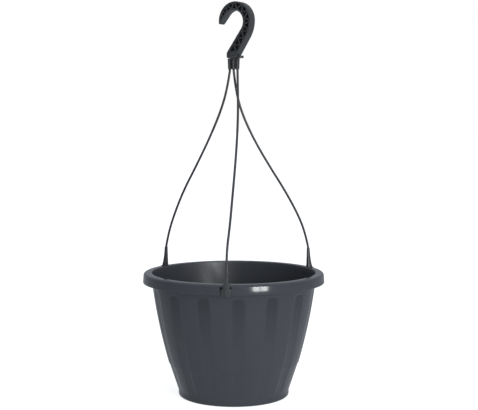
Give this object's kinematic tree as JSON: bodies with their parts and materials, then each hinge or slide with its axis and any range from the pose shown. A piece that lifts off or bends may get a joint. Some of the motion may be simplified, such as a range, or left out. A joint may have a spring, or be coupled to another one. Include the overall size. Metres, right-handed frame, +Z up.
{
  "type": "hanging basket",
  "caption": "Round tapered plastic hanging pot with a turned-down rim, slack moulded strands clipped into the rim, a flat hub and a swivelling trussed hook.",
  "frame": {"origin": "centre of the pot's base, on the surface that it stands on", "axes": "+Z up along the pot's axis; the hook lies in the XZ plane with its mouth towards -X; the left strand runs towards -X"},
  "size_m": [0.2504, 0.2504, 0.54],
  "materials": {
    "pot_plastic": "satin-gloss moulded polypropylene, anthracite",
    "hanger_plastic": "satin moulded polypropylene, dark grey"
  },
  "bodies": {
    "pot": {"pot": "pot_plastic"},
    "hub": {"hub": "hanger_plastic"},
    "hook": {"hook": "hanger_plastic"},
    "strand_left": {"strand_left": "hanger_plastic", "clip_left": "hanger_plastic"},
    "strand_front": {"strand_front": "hanger_plastic", "clip_front": "hanger_plastic"},
    "strand_rear": {"strand_rear": "hanger_plastic", "clip_rear": "hanger_plastic"}
  },
  "joints": [
    {"name": "hanger_take_up", "type": "slide", "parent": "pot", "child": "hub", "axis": [0, 0, 1], "range_m": [0, 0.0024]},
    {"name": "hook_swivel", "type": "hinge", "parent": "hub", "child": "hook", "pos_m": [0, 0, 0.464], "axis": [0, 0, 1], "continuous": true},
    {"name": "strand_left_flex", "type": "hinge", "parent": "hub", "child": "strand_left", "pos_m": [-0.0063, 0, 0.4474], "axis": [0, 1, 0], "range_deg": [0, 25], "stiffness_Nm_per_rad": 0.07},
    {"name": "strand_front_flex", "type": "hinge", "parent": "hub", "child": "strand_front", "pos_m": [0.0063, 0, 0.4474], "axis": [-0.866, -0.5, 0], "range_deg": [0, 25], "stiffness_Nm_per_rad": 0.07},
    {"name": "strand_rear_flex", "type": "hinge", "parent": "hub", "child": "strand_rear", "pos_m": [0, 0, 0.4474], "axis": [0.866, -0.5, 0], "range_deg": [0, 25], "stiffness_Nm_per_rad": 0.07}
  ]
}
